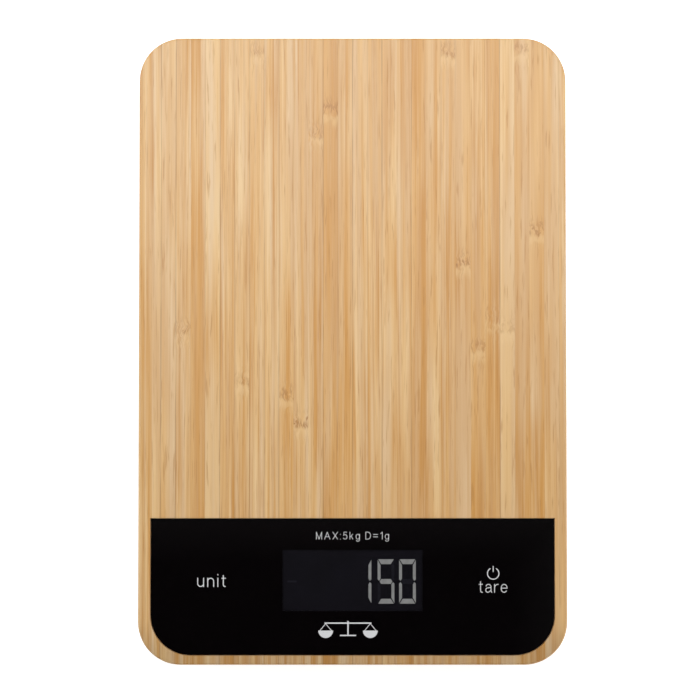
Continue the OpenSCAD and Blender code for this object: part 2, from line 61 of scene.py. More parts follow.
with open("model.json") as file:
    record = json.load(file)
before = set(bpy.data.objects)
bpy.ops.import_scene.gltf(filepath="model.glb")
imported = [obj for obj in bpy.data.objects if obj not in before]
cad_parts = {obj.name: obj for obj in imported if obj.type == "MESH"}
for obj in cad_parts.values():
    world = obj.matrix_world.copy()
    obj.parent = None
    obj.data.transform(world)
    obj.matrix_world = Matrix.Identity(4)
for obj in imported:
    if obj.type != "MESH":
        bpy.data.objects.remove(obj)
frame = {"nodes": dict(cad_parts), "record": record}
cad_low, cad_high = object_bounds()
nodes = frame["nodes"]
scene = bpy.context.scene
CORNERS = ("front_left", "front_right", "rear_left", "rear_right")


# ---- Node graphs ----


def srgb(red, green, blue):
    """Linear RGBA of a colour as a screen shows it, 0 to 255."""
    shown = (red / 255, green / 255, blue / 255)
    linear = [c / 12.92 if c <= 0.04045 else ((c + 0.055) / 1.055) ** 2.4 for c in shown]
    return (*linear, 1.0)


def scaled(colour, by):
    """That colour, lighter or darker."""
    return (*[min(c * by, 1.0) for c in colour[:3]], 1.0)


class Graph:
    """A material's nodes. Its place, x, y and z are in millimetres, in the frame of the object it is on."""

    def __init__(self, name):
        self.material = bpy.data.materials.new(name)
        self.material.use_nodes = True
        self.tree = self.material.node_tree
        self.tree.nodes.clear()
        coordinates = self.add("ShaderNodeTexCoord").outputs["Object"]
        self.place = self.times(coordinates, (1000, 1000, 1000))
        self.x, self.y, self.z = self.add("ShaderNodeSeparateXYZ", {0: self.place}).outputs

    def add(self, kind, inputs=None, **settings):
        """A new node. A setting is one of its attributes, and an input is a socket or a plain value."""
        node = self.tree.nodes.new(kind)
        for name, value in settings.items():
            setattr(node, name, value)
        for key, value in (inputs or {}).items():
            if isinstance(value, bpy.types.NodeSocket):
                self.tree.links.new(value, node.inputs[key])
            else:
                node.inputs[key].default_value = value
        return node

    def times(self, vector, by):
        return self.add("ShaderNodeVectorMath", {0: vector, 1: by}, operation="MULTIPLY").outputs[0]

    def math(self, operation, a, b=0.0):
        return self.add("ShaderNodeMath", {0: a, 1: b}, operation=operation).outputs[0]

    def sum(self, *terms):
        total = terms[0]
        for term in terms[1:]:
            total = self.math("ADD", total, term)
        return total

    def product(self, *terms):
        total = terms[0]
        for term in terms[1:]:
            total = self.math("MULTIPLY", total, term)
        return total

    def swing(self, value, size):
        """A value that goes from 0 to 1, as one that goes from -size / 2 to size / 2."""
        return self.math("MULTIPLY", self.math("SUBTRACT", value, 0.5), size)

    def ease(self, value, low, high, start=0.0, end=1.0):
        """Start where value is under low, end where it is over high, and smooth between them."""
        inputs = {"Value": value, "From Min": low, "From Max": high, "To Min": start, "To Max": end}
        return self.add("ShaderNodeMapRange", inputs, interpolation_type="SMOOTHSTEP").outputs[0]

    def join(self, x, y, z=0.0):
        return self.add("ShaderNodeCombineXYZ", {0: x, 1: y, 2: z}).outputs[0]

    def length(self, x, y):
        return self.add("ShaderNodeVectorMath", {0: self.join(x, y)}, operation="LENGTH").outputs["Value"]

    def noise(self, size_mm, vector=None, detail=2.0, roughness=0.5):
        """Noise from 0 to 1, with grains of about that size, or of one size along each axis."""
        sizes = size_mm if isinstance(size_mm, tuple) else (size_mm,) * 3
        point = self.times(vector or self.place, tuple(1 / s for s in sizes))
        inputs = {"Vector": point, "Scale": 1.0, "Detail": detail, "Roughness": roughness}
        return self.add("ShaderNodeTexNoise", inputs).outputs[0]

    def random(self, value):
        """A number from 0 to 1, the same wherever value is the same."""
        return self.add("ShaderNodeTexWhiteNoise", {"W": value}, noise_dimensions="1D").outputs["Value"]

    def steps(self, index, values):
        """The one of values, each from 0 to 1, that index counts to."""
        count = len(values)
        factor = self.math("DIVIDE", self.math("ADD", index, 0.5), count)
        node = self.add("ShaderNodeValToRGB", {0: factor})
        node.color_ramp.interpolation = "CONSTANT"
        points = node.color_ramp.elements
        while len(points) < count:
            points.new(1.0)
        for k, value in enumerate(values):
            points[k].position = k / count
            points[k].color = (value, value, value, 1)
        return node.outputs["Color"]

    def blend(self, factor, a, b):
        """Colour a where factor is 0, and colour b where it is 1."""
        return self.add("ShaderNodeMix", {0: factor, 6: a, 7: b}, data_type="RGBA").outputs[2]

    def bump(self, height, depth_mm, normal=None):
        inputs = {"Height": height, "Distance": depth_mm * MM}
        if normal:
            inputs["Normal"] = normal
        return self.add("ShaderNodeBump", inputs).outputs[0]

    def rounded(self, radius_mm):
        """The normal of a surface with its edges rounded off."""
        return self.add("ShaderNodeBevel", {"Radius": radius_mm * MM}, samples=6).outputs[0]

    def principled(self, **inputs):
        """The finished material. An input such as base_color is the socket Base Color."""
        named = {key.replace("_", " ").title().replace("Ior", "IOR"): value for key, value in inputs.items()}
        return self.finish(self.add("ShaderNodeBsdfPrincipled", named).outputs[0])

    def finish(self, shader):
        self.add("ShaderNodeOutputMaterial", {"Surface": shader})
        return self.material


# ---- Bamboo ----

STRIP_MM = 5.172  # width of each of the strips that are glued side by side
STRIPS = 30
STRIP_28_MM = 67.25  # where strip 28 starts, right of the board's middle
FIRST_JOINT_MM = STRIP_28_MM - 28 * STRIP_MM  # outside the board, so the strips at its edges are narrower
# Strips that plainly stand out in the photo. The rest have a tone drawn at random
DARK_STRIPS = (4, 13, 19, 24)
PALE_STRIPS = (5, 25)
DARK_TONE = 0.12
PALE_TONE = 0.97
# How far behind the board's middle a strip has a knuckle, read from the photo
KNUCKLES_MM = {
    3: 6, 7: -12, 8: 104, 10: -17, 11: -26, 12: 75, 13: 83,
    21: 104, 22: 30, 23: 0, 24: 10, 25: 7, 26: 105, 27: 41,
}
NOWHERE_MM = 190  # past the end of the board, for strips without a knuckle
BAMBOO_DEEP = ((0.568, 0.263, 0.046, 1), (0.528, 0.250, 0.055, 1))
BAMBOO_LIGHT = ((0.765, 0.529, 0.258, 1), (0.711, 0.505, 0.290, 1))
BAMBOO_FIBRE = (0.430, 0.190, 0.036, 1)
BAMBOO_JOINT = (0.290, 0.140, 0.040, 1)
BAMBOO_KNUCKLE = (0.380, 0.165, 0.040, 1)


def strip_tone(strip, draw):
    """How pale a strip is, from 0, dark, to 1, pale. Strips further right are a little darker."""
    tone = draw.uniform(0.45, 0.75) - 0.006 * strip
    if strip in DARK_STRIPS:
        return DARK_TONE
    if strip in PALE_STRIPS:
        return PALE_TONE
    return tone


def bamboo():
    """Strips with fibres, joint lines, knuckles and end grain, under a thin satin lacquer."""
    g = Graph("bamboo")
    draw = random.Random(12)
    across = g.math("DIVIDE", g.math("SUBTRACT", g.x, FIRST_JOINT_MM), STRIP_MM)
    strip = g.math("FLOOR", across)
    pale = g.steps(strip, [strip_tone(k, draw) for k in range(STRIPS)])

    # Where a strip has a knuckle, its fibres swirl
    span = 2 * NOWHERE_MM
    places = [KNUCKLES_MM.get(k, NOWHERE_MM) / span + 0.5 for k in range(STRIPS)]
    knuckle = g.swing(g.steps(strip, places), span)
    behind = g.sum(g.math("SUBTRACT", g.y, knuckle), g.swing(g.noise((1.6, 40, 40), detail=2), 5.0))
    near = g.ease(g.math("ABSOLUTE", behind), 0.0, 9.0, 1.0, 0.0)
    swirl = g.product(g.swing(g.noise((2.2, 3.5, 9.0)), 3.0), near)

    # Each strip has fibres of its own, at a slight slant of its own
    slant = g.product(g.swing(g.random(g.sum(strip, 0.5)), 0.012), g.y)
    shifted = g.sum(g.x, g.product(strip, 13.7), slant, swirl)
    coarseness = g.ease(g.random(g.sum(strip, 0.9)), 0.0, 1.0, 0.5, 1.4)
    fibre = g.join(g.product(shifted, coarseness), g.sum(g.y, g.product(strip, 31.3)), g.z)
    fine = g.noise((0.36, 70, 0.5), fibre, detail=3, roughness=0.7)
    streak = g.noise((0.9, 60, 1.0), fibre, detail=1)
    broad = g.noise((2.4, 170, 2.4), fibre, detail=1)
    patch = g.noise((6, 45, 6), fibre, detail=1)
    vein = g.sum(g.noise((0.42, 15, 0.45), fibre, detail=2, roughness=0.6), g.product(near, 0.04))
    hair = g.ease(vein, 0.57, 0.7)
    hue = g.ease(g.noise((2.6, 120, 2.8), fibre, detail=2, roughness=0.6), 0.34, 0.66)

    # Joints are thin dark lines, and some hardly show
    part = g.math("FRACT", across)
    edge = g.product(g.math("MINIMUM", part, g.math("SUBTRACT", 1.0, part)), STRIP_MM)
    shows = g.ease(g.random(g.math("ROUND", across)), 0.15, 0.95, 0.08, 1.0)
    broken = g.ease(g.noise((8, 22, 8)), 0.32, 0.62, 0.3, 1.0)
    line = g.product(g.ease(edge, 0.06, 0.3, 1.0, 0.0), shows, broken)

    swings = g.sum(g.swing(fine, 0.9), g.swing(streak, 0.65), g.swing(broad, 1.0), g.swing(patch, 0.5))
    normal = g.add("ShaderNodeNewGeometry").outputs["Normal"]
    facing = g.add("ShaderNodeSeparateXYZ", {0: normal}).outputs["Y"]
    ends = g.ease(g.math("ABSOLUTE", facing), 0.5, 0.9)
    lively = g.ease(g.noise((7, 90, 7), detail=1), 0.35, 0.65, 0.5, 1.45)
    calm = g.math("SUBTRACT", 1.0, g.product(ends, 0.8))
    swings = g.product(swings, lively, calm, g.ease(g.y, -107, -88, 1.9, 1.0))
    lightness = g.sum(g.product(pale, 0.5), swings, 0.25)
    deep = g.blend(hue, *BAMBOO_DEEP)
    light = g.blend(hue, *BAMBOO_LIGHT)
    colour = g.blend(g.ease(lightness, -0.1, 1.1), deep, light)
    colour = g.blend(g.product(hair, calm, 0.5), colour, BAMBOO_FIBRE)

    # Across its ends the fibres are small dots
    dots = g.ease(g.noise((0.42, 40, 0.55), detail=1), 0.53, 0.62)
    colour = g.blend(g.product(dots, ends, 0.45), colour, BAMBOO_KNUCKLE)
    colour = g.blend(g.product(line, 0.5), colour, BAMBOO_JOINT)

    # Behind a knuckle short fibre ends make dark dashes, and in front of it the wood is paler
    dashes = g.ease(g.noise((0.42, 2.6, 0.6), fibre, detail=2, roughness=0.6), 0.45, 0.58)
    cluster = g.ease(g.noise((2.6, 4.2, 3.0), fibre, detail=1), 0.34, 0.54)
    tail = g.product(g.ease(behind, -1.6, 0.3), g.ease(behind, 1.2, 7.0, 1.0, 0.0))
    ahead = g.product(g.ease(behind, -6.0, -1.8), g.ease(behind, -1.4, 0.3, 1.0, 0.0))
    glow = g.product(ahead, g.ease(cluster, 0.0, 1.0, 0.25, 1.0))
    strength = g.ease(g.random(g.sum(strip, 0.7)), 0.0, 1.0, 0.3, 0.8)
    colour = g.blend(g.product(glow, 0.38), colour, BAMBOO_LIGHT[0])
    colour = g.blend(g.product(dashes, cluster, tail, strength), colour, BAMBOO_KNUCKLE)

    # Painted shade: the front edge is darker in the photo, where less light falls, so the colour darkens
    # towards it
    painted_front_shade = g.ease(g.y, -107, -92, 0.78, 1.0)
    colour = g.blend(painted_front_shade, (0, 0, 0, 1), colour)

    height = g.sum(g.product(fine, 0.7), g.product(hair, -0.4), g.product(line, -1.0))
    return g.principled(
        base_color=colour,
        roughness=g.sum(0.34, g.product(fine, 0.14), g.product(hair, 0.06)),
        normal=g.bump(height, 0.02),
        coat_weight=0.15,
        coat_roughness=0.3,
    )


# ---- Other materials ----


def clear_acrylic():
    """Polished sheet: it shows what is behind it, and its outer faces mirror a little."""
    g = Graph("clear_acrylic")
    smooth = g.bump(g.noise(55, detail=0), 0.03, g.rounded(0.25))
    haze = g.ease(g.noise(7, detail=3), 0.3, 0.8, 0.015, 0.035)
    mirror = g.add("ShaderNodeBsdfGlossy", {"Roughness": haze, "Normal": smooth}).outputs[0]
    clear = g.add("ShaderNodeBsdfTransparent", {"Color": (0.985, 0.99, 0.99, 1)}).outputs[0]
    share = g.add("ShaderNodeFresnel", {"IOR": 1.49, "Normal": smooth}).outputs[0]
    outside = g.math("SUBTRACT", 1.0, g.add("ShaderNodeNewGeometry").outputs["Backfacing"])
    shares = {0: g.product(share, outside), 1: clear, 2: mirror}
    return g.finish(g.add("ShaderNodeMixShader", shares).outputs[0])


def dark_layer(name, colour, paler, roughness):
    """A dark printed or polarizing layer that lies behind the acrylic."""
    g = Graph(name)
    level = g.sum(g.product(g.noise(0.5, detail=1), 0.3), g.product(g.noise(12), 0.7))
    return g.principled(
        base_color=g.blend(level, colour, paler),
        roughness=g.sum(g.product(g.noise(3), 0.1), roughness),
        specular_ior_level=0.02,
    )


def ink(name, colour, paler):
    """Screen-printed ink with a faint grain."""
    g = Graph(name)
    grain = g.noise(0.18)
    return g.principled(
        base_color=g.blend(g.ease(grain, 0.3, 0.7), colour, paler),
        roughness=g.sum(g.product(grain, 0.2), 0.5),
        normal=g.bump(grain, 0.003),
        specular_ior_level=0.2,
    )


def glowing_segment():
    """A part of the display that shows pale, a little unevenly. Painted light: it glows by emission, though
    the backlight is off.
    """
    g = Graph("glowing_segment")
    level = g.ease(g.noise(2.2, detail=3), 0.3, 0.7)
    return g.principled(
        base_color=(0.06, 0.06, 0.06, 1),
        roughness=0.6,
        # Painted light: the segments' pale look comes from this emission, not from a lamp
        emission_color=g.blend(level, (0.148, 0.146, 0.144, 1), (0.190, 0.188, 0.185, 1)),
        emission_strength=1.0,
        specular_ior_level=0.1,
    )


def moulded(name, colour, roughness=0.48, grain_mm=0.3, depth_mm=0.03, edge_mm=0.25):
    """Moulded plastic with a fine spark-eroded skin, soft edges and a little wear."""
    g = Graph(name)
    skin = g.noise(grain_mm, detail=3, roughness=0.65)
    patch = g.noise(16, detail=3)
    scuff = g.ease(g.noise((1.0, 6.0, 3.0), detail=4, roughness=0.7), 0.6, 0.8)
    shade = g.blend(g.ease(skin, 0.35, 0.65), scaled(colour, 0.78), scaled(colour, 1.22))
    shade = g.blend(g.product(patch, 0.6), shade, scaled(colour, 1.35))
    shade = g.blend(g.product(scuff, 0.16), shade, scaled(colour, 2.0))
    return g.principled(
        base_color=shade,
        roughness=g.sum(roughness - 0.08, g.product(skin, 0.1), g.product(patch, 0.06)),
        normal=g.bump(skin, depth_mm, g.rounded(edge_mm)),
        specular_ior_level=0.45,
    )


def metal(name, colour, roughness, brushed_mm=(0.12, 4.0, 0.4)):
    """Plated metal, drawn or brushed, with faint stains."""
    g = Graph(name)
    brushed = g.noise(brushed_mm, detail=3, roughness=0.7)
    return g.principled(
        base_color=g.blend(g.ease(g.noise(2.6, detail=3), 0.35, 0.8, 0.0, 0.6), colour, scaled(colour, 0.7)),
        metallic=1.0,
        roughness=g.sum(g.swing(brushed, 0.25), roughness),
        normal=g.bump(brushed, 0.006, g.rounded(0.12)),
    )


def turned_steel():
    """Nickel-plated can of the coin cell, turned about its middle."""
    g = Graph("cell_steel")
    low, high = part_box("coin_cell")
    middle = (low + high) / 2 / MM
    reach = g.length(g.math("SUBTRACT", g.x, middle.x), g.math("SUBTRACT", g.y, middle.y))
    turned = g.noise((0.07, 1, 1), g.join(reach, 0.0))
    rings = g.noise((0.45, 1, 1), g.join(reach, 0.0))
    scratch = g.ease(g.noise((0.14, 3.5, 1.0), detail=3, roughness=0.7), 0.58, 0.72)
    shade = g.blend(g.ease(g.sum(g.product(turned, 0.5), g.product(rings, 0.5)), 0.35, 0.65),
                    srgb(186, 186, 189), srgb(156, 156, 160))
    shade = g.blend(g.product(g.ease(reach, 8.7, 9.7), 0.55), shade, srgb(104, 104, 108))
    shade = g.blend(g.product(scratch, 0.35), shade, srgb(226, 226, 228))
    return g.principled(
        base_color=shade,
        metallic=1.0,
        roughness=g.sum(g.product(turned, 0.2), 0.22),
        normal=g.bump(turned, 0.008, g.rounded(0.3)),
    )


def foot_rubber():
    """Matt rubber with dust in its grooves."""
    g = Graph("foot_rubber")
    grain = g.noise(0.3, detail=3)
    low = g.ease(g.z, 0.05, 0.4, 0.4, 1.0)
    dust = g.product(g.ease(g.noise(1.1, detail=4, roughness=0.7), 0.4, 0.75), low, 0.4)
    rubber = g.blend(g.ease(grain, 0.3, 0.7), srgb(46, 46, 48), srgb(60, 60, 62))
    return g.principled(
        base_color=g.blend(dust, rubber, srgb(112, 109, 104)),
        roughness=g.sum(g.product(grain, 0.15), 0.7),
        normal=g.bump(grain, 0.02),
        specular_ior_level=0.3,
    )


def circuit_board():
    """Green solder mask over copper tracks and the weave of the glass cloth."""
    g = Graph("circuit_board")
    sizes = {"Mortar Size": 0.05, "Brick Width": 1.7, "Row Height": 0.4, "Scale": 1.0}
    colours = {"Color1": (0, 0, 0, 1), "Color2": (0, 0, 0, 1), "Mortar": (1, 1, 1, 1)}
    where = {"Vector": g.times(g.place, (0.16, 0.16, 0.16))}
    tracks = g.add("ShaderNodeTexBrick", {**where, **sizes, **colours}, offset=0.37).outputs["Color"]
    weave = g.product(g.math("SINE", g.product(g.x, 9.0)), g.math("SINE", g.product(g.y, 9.0)))
    mask = g.blend(g.noise(11), srgb(12, 78, 42), srgb(20, 96, 50))
    return g.principled(
        base_color=g.blend(g.product(tracks, 0.55), mask, srgb(54, 132, 74)),
        roughness=g.sum(g.product(weave, 0.04), 0.3),
        normal=g.bump(g.sum(g.product(tracks, 0.8), g.product(weave, 0.1)), 0.03),
    )


def flex_circuit():
    """Amber film with a hatch of printed silver electrodes."""
    g = Graph("flex_circuit")
    hatch = g.math("MAXIMUM", g.math("SINE", g.product(g.x, 4.0)), g.math("SINE", g.product(g.y, 4.0)))
    silver = g.ease(hatch, 0.86, 0.96)
    return g.principled(
        base_color=g.blend(g.product(silver, 0.8), srgb(190, 120, 44), srgb(178, 178, 176)),
        roughness=g.sum(g.product(g.noise(1.0), 0.1), 0.3),
        normal=g.bump(silver, 0.01),
    )


def wire_insulation():
    """PVC sleeves, where each wire of a bundle has a colour of its own."""
    g = Graph("wire_insulation")
    pick = g.add("ShaderNodeNewGeometry").outputs["Random Per Island"]
    colour = srgb(176, 26, 22)
    for start, other in ((0.3, srgb(24, 24, 26)), (0.55, srgb(224, 222, 214)), (0.8, srgb(30, 96, 52))):
        colour = g.blend(g.math("GREATER_THAN", pick, start), colour, other)
    haze = g.noise(0.6, detail=3)
    return g.principled(
        base_color=g.blend(g.product(haze, 0.15), colour, srgb(150, 140, 130)),
        roughness=g.sum(g.product(haze, 0.2), 0.35),
    )


def zebra_rubber():
    """Silicone strip with the carbon stripes across it that carry the contacts."""
    g = Graph("zebra_rubber")
    stripes = g.ease(g.math("SINE", g.product(g.x, 2 * math.pi / 0.5)), -0.25, 0.25)
    return g.principled(
        base_color=g.blend(stripes, srgb(40, 40, 42), srgb(206, 150, 156)),
        roughness=g.sum(g.product(g.noise(0.4), 0.2), 0.6),
    )


def tinned(g, ends, body):
    """A chip, whose ends or leads are tinned where ends is 1."""
    grain = g.noise(0.2)
    return g.principled(
        base_color=g.blend(ends, g.blend(grain, body, scaled(body, 1.4)), srgb(202, 202, 204)),
        metallic=ends,
        roughness=g.sum(g.product(grain, 0.2), 0.32),
        normal=g.bump(grain, 0.006, g.rounded(0.1)),
    )


def resistor_ceramic():
    """Two rows of resistors, tinned at both ends along Y."""
    g = Graph("resistor_ceramic")
    low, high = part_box("board_resistors")
    middle = (low.y + high.y) / 2 / MM
    row = (high.y - low.y) / 2 / MM - 0.8
    aside = g.math("SUBTRACT", g.math("ABSOLUTE", g.math("SUBTRACT", g.y, middle)), row)
    return tinned(g, g.math("GREATER_THAN", g.math("ABSOLUTE", aside), 0.5), srgb(26, 26, 28))


def capacitor_ceramic():
    """Capacitors 5 mm apart, tinned at both ends along X."""
    g = Graph("capacitor_ceramic")
    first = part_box("board_capacitors")[0].x / MM + 1.0
    pitches = g.math("DIVIDE", g.math("SUBTRACT", g.x, first), 5.0)
    aside = g.swing(g.math("FRACT", g.sum(pitches, 0.5)), 5.0)
    return tinned(g, g.math("GREATER_THAN", g.math("ABSOLUTE", aside), 0.62), srgb(166, 136, 98))


def chip_package():
    """Moulded package with tinned leads along both sides."""
    g = Graph("chip_package")
    low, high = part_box("converter_chip")
    middle = (low.y + high.y) / 2 / MM
    leads = g.math("GREATER_THAN", g.math("ABSOLUTE", g.math("SUBTRACT", g.y, middle)), 2.01)
    return tinned(g, leads, srgb(30, 30, 32))


MATERIALS = {
    "bamboo": bamboo(),
    "clear_acrylic": clear_acrylic(),
    "black_print": dark_layer("black_print", (0.0010, 0.0005, 0.0007, 1), (0.0021, 0.0012, 0.0016, 1), 0.3),
    "flex_circuit": flex_circuit(),
    "adhesive_tape": moulded("adhesive_tape", srgb(232, 232, 228), 0.8, 0.3, 0.03),
    "lcd_glass": dark_layer("lcd_glass", (0.0064, 0.0058, 0.0070, 1), (0.0094, 0.0086, 0.0126, 1), 0.18),
    "backlight_plastic": moulded("backlight_plastic", srgb(236, 238, 240), 0.3, 0.5, 0.004),
    "white_plastic": moulded("white_plastic", srgb(234, 234, 230)),
    "zebra_rubber": zebra_rubber(),
    "circuit_board": circuit_board(),
    "black_resin": moulded("black_resin", srgb(18, 18, 19), 0.28, 0.8, 0.03),
    "chip_package": chip_package(),
    "resistor_ceramic": resistor_ceramic(),
    "capacitor_ceramic": capacitor_ceramic(),
    "solder": metal("solder", srgb(200, 200, 202), 0.25, (0.4, 0.4, 0.4)),
    "screw_steel": metal("screw_steel", srgb(196, 198, 202), 0.3, (0.2, 0.2, 0.2)),
    "base_plastic": moulded("base_plastic", srgb(36, 36, 38), depth_mm=0.06),
    "contact_metal": metal("contact_metal", srgb(212, 206, 190), 0.25),
    "wire_insulation": wire_insulation(),
    "cell_steel": turned_steel(),
    "holder_plastic": moulded("holder_plastic", srgb(226, 220, 200)),
    "load_cell_steel": metal("load_cell_steel", srgb(202, 204, 206), 0.32),
    "gauge_sealant": moulded("gauge_sealant", srgb(232, 232, 228), 0.4, 0.6, 0.04),
    "foot_plastic": moulded("foot_plastic", srgb(30, 30, 32), 0.42, 0.3, 0.008),
    "foot_rubber": foot_rubber(),
}
LEGEND_INK = ink("legend_ink", srgb(214, 214, 216), srgb(226, 226, 228))
GHOST_FILM = dark_layer("ghost_segment", (0.0112, 0.0104, 0.0130, 1), (0.0144, 0.0134, 0.0194, 1), 0.3)

for row in frame["record"]["subparts"]:
    for place in nodes[row["node"]].material_slots:
        place.material = MATERIALS[row["material_slot"]]


# ---- Shapes ----


def piece(name, mesh, material, body="housing"):
    """A new piece of the object that rides on a body. With no body named, it rides on none."""
    mesh.name = name
    mesh.materials.clear()
    mesh.materials.append(material)
    made = bpy.data.objects.new(name, mesh)
    scene.collection.objects.link(made)
    if body:
        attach(made, body)
    return made


def mesh_of(curve):
    """The mesh that a curve or text makes."""
    draft = bpy.data.objects.new("draft", curve)
    scene.collection.objects.link(draft)
    mesh = bpy.data.meshes.new_from_object(draft.evaluated_get(bpy.context.evaluated_depsgraph_get()))
    bpy.data.objects.remove(draft)
    bpy.data.curves.remove(curve)
    return mesh


def plates(shapes, low, high):
    """Flat solids from z = low to high.

    Each shape is a list of outlines, which are closed loops of (x, y). The first is the outside, and the rest
    are holes.
    """
    whole = bmesh.new()
    for outlines in shapes:
        curve = bpy.data.curves.new("outlines", "CURVE")
        curve.dimensions = "2D"
        curve.fill_mode = "BOTH"
        curve.extrude = (high - low) / 2
        for outline in outlines:
            spline = curve.splines.new("POLY")
            spline.points.add(len(outline) - 1)
            for point, (x, y) in zip(spline.points, outline):
                point.co = (x, y, 0, 1)
            spline.use_cyclic_u = True
        mesh = mesh_of(curve)
        whole.from_mesh(mesh)
        bpy.data.meshes.remove(mesh)
    bmesh.ops.remove_doubles(whole, verts=whole.verts, dist=1e-7)
    bmesh.ops.translate(whole, verts=whole.verts, vec=(0, 0, (low + high) / 2))
    return to_mesh(whole)


def to_mesh(whole):
    """The mesh of a finished bmesh, with its faces turned outwards."""
    bmesh.ops.recalc_face_normals(whole, faces=whole.faces)
    mesh = bpy.data.meshes.new("shape")
    whole.to_mesh(mesh)
    whole.free()
    return mesh


def arc(middle, radius, start, end, steps):
    """Points round a circle, from one angle in degrees to another."""
    angles = [math.radians(start + (end - start) * k / steps) for k in range(steps + 1)]
    return [(middle[0] + radius * math.cos(a), middle[1] + radius * math.sin(a)) for a in angles]


def rounded_rectangle(middle, width, length, radius, steps=8):
    x, y = width / 2 - radius, length / 2 - radius
    outline = []
    for k, (side, end) in enumerate(((1, 1), (-1, 1), (-1, -1), (1, -1))):
        outline += arc((middle[0] + side * x, middle[1] + end * y), radius, 90 * k, 90 * k + 90, steps)
    return outline


def moved(outline, x, y, by=MM):
    """An outline in millimetres, about a point in metres."""
    return [(x + px * by, y + py * by) for px, py in outline]


# ---- Display ----

glass_low, glass_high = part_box("lcd_glass")
film_low, film_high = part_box("printed_film")
DISPLAY_Y = (glass_low.y + glass_high.y) / 2
INK_T = 0.00003
GHOST_LIFT, DIGIT_LIFT = 0.00001, 0.00002
DIGIT_W_MM, DIGIT_H_MM = 5.85, 15.5
BAR_MM, POST_MM, GAP_MM = 1.7, 1.02, 0.22
DIGIT_Y_MM = -0.4  # the digits sit a little in front of the window's middle
DIGITS = ((19.2, "abcdef"), (11.7, "afgcd"), (3.65, "bc"))


def segments():
    """The outlines in millimetres of a digit's seven bars and posts, with mitred ends, about its middle."""
    x, y = DIGIT_W_MM / 2, DIGIT_H_MM / 2
    inner_x, inner_y = x - POST_MM, y - BAR_MM
    bar = [(-x + GAP_MM, y), (x - GAP_MM, y), (inner_x - GAP_MM, inner_y), (GAP_MM - inner_x, inner_y)]
    tip = (x - POST_MM / 2, GAP_MM)
    post = [(x, y - GAP_MM), (x, 0.75), tip, (inner_x, 1.0), (inner_x, inner_y - GAP_MM * 1.6)]
    half = BAR_MM / 2
    reach = inner_x - GAP_MM
    end = tip[0] - 0.2
    middle = [(-end, 0), (-reach, half), (reach, half), (end, 0), (reach, -half), (-reach, -half)]
    return {
        "a": bar,
        "b": post,
        "c": [(px, -py) for px, py in post],
        "d": [(px, -py) for px, py in bar],
        "e": [(-px, -py) for px, py in post],
        "f": [(-px, py) for px, py in post],
        "g": middle,
    }


def digit(x_mm, letters):
    """The shapes of a digit's lit parts. Letters name them as on any seven-part display."""
    return [[moved(segments()[letter], x_mm * MM, DISPLAY_Y + DIGIT_Y_MM * MM)] for letter in letters]


lit = [shape for x_mm, letters in DIGITS for shape in digit(x_mm, letters)]
top = glass_high.z
piece("display_digits", plates(lit, top + DIGIT_LIFT, top + DIGIT_LIFT + INK_T), glowing_segment())

# Two bars and a minus sign that are off still show faintly
ghosts = digit(DIGITS[1][0], "be") + digit(DIGITS[0][0], "g")
ghosts.append([rounded_rectangle((-21.2 * MM, DISPLAY_Y + DIGIT_Y_MM * MM), 3.2 * MM, 0.7 * MM, 0.1 * MM)])
ghost_mesh = plates(ghosts, top + GHOST_LIFT, top + GHOST_LIFT + INK_T)
ghost_segments = piece("ghost_segments", ghost_mesh, GHOST_FILM)


# ---- Legends ----


def bend(x, y, across, up, start, end, steps=14):
    """Points round an ellipse, from one angle in degrees to another."""
    angles = [math.radians(start + (end - start) * k / steps) for k in range(steps + 1)]
    return [(x + across * math.cos(a), y + up * math.sin(a)) for a in angles]


TALL = 1.42  # height of capitals and figures, where small letters are 1 high
